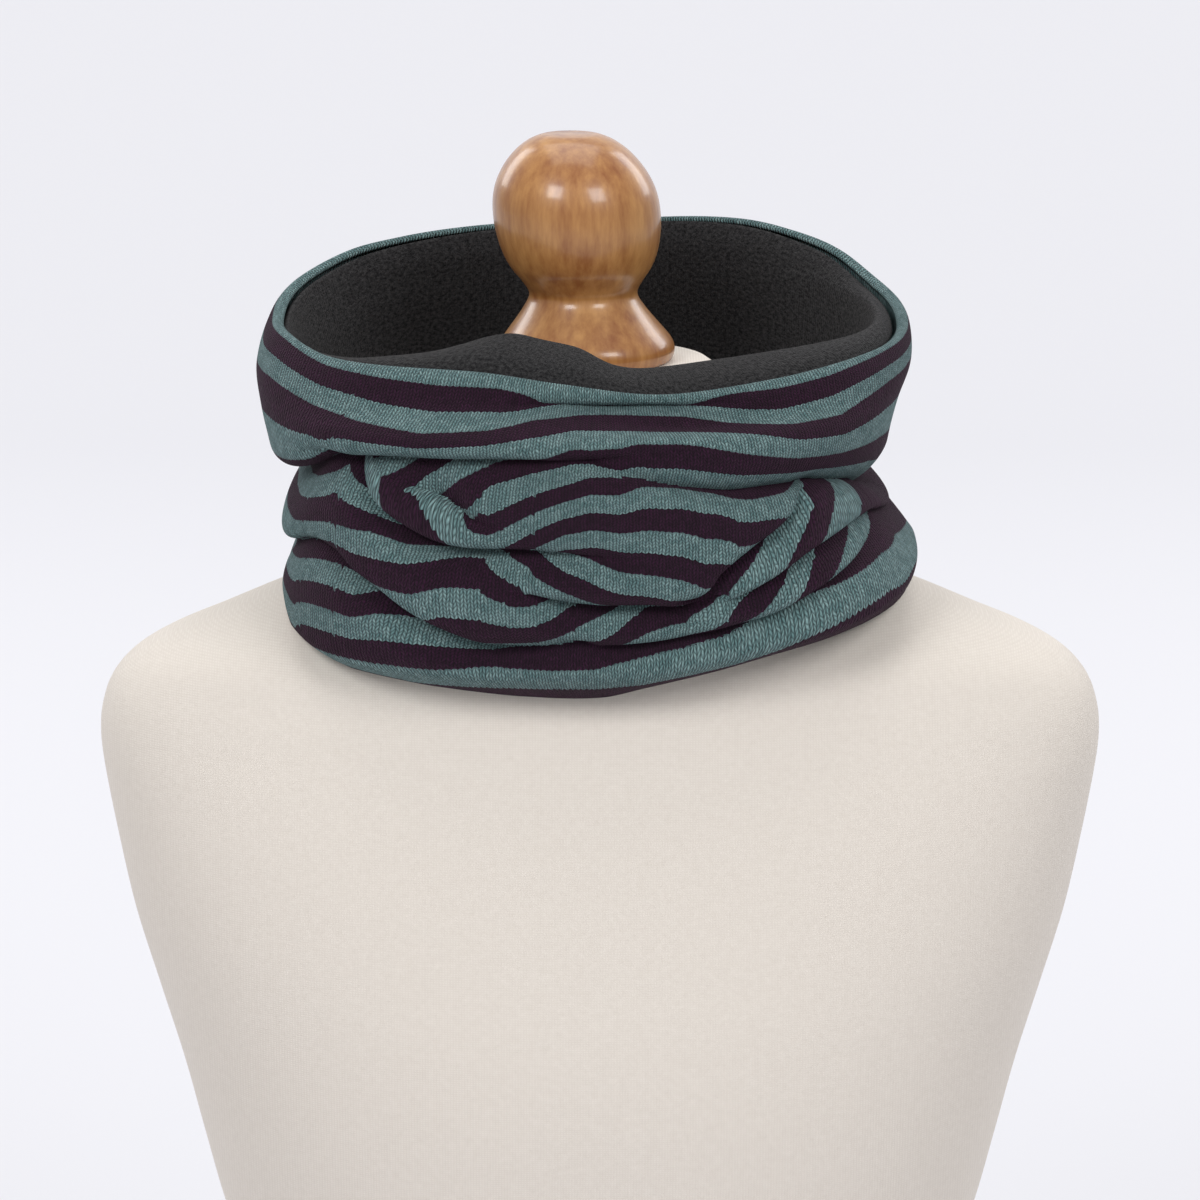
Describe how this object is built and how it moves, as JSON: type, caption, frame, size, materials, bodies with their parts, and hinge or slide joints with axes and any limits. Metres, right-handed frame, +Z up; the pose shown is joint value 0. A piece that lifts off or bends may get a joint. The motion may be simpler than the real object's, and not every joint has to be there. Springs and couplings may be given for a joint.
{
  "type": "infinity scarf on a dress form",
  "caption": "Striped knitted loop scarf with a plain lining, scrunched into soft rolls round the neck of a limbless dress form with a turned neck knob.",
  "frame": {"origin": "bottom centre of the bounding box, at the flat base of the dress form under its neck", "axes": "+Z up, -Y towards the front of the chest, +X towards the right-hand shoulder in the front view"},
  "size_m": [0.3856, 0.232, 0.6423],
  "materials": {
    "striped_knit": "soft woollen stockinette in teal and dark plum stripes",
    "charcoal_knit": "heathered charcoal woollen knit",
    "jersey_cover": "cream cotton jersey stretched over the form",
    "turned_wood": "orange-brown lacquered turned wood"
  },
  "bodies": {
    "root": {"scarf_outer": "striped_knit", "scarf_lining": "charcoal_knit", "form_torso": "jersey_cover", "form_knob": "turned_wood"}
  },
  "joints": []
}
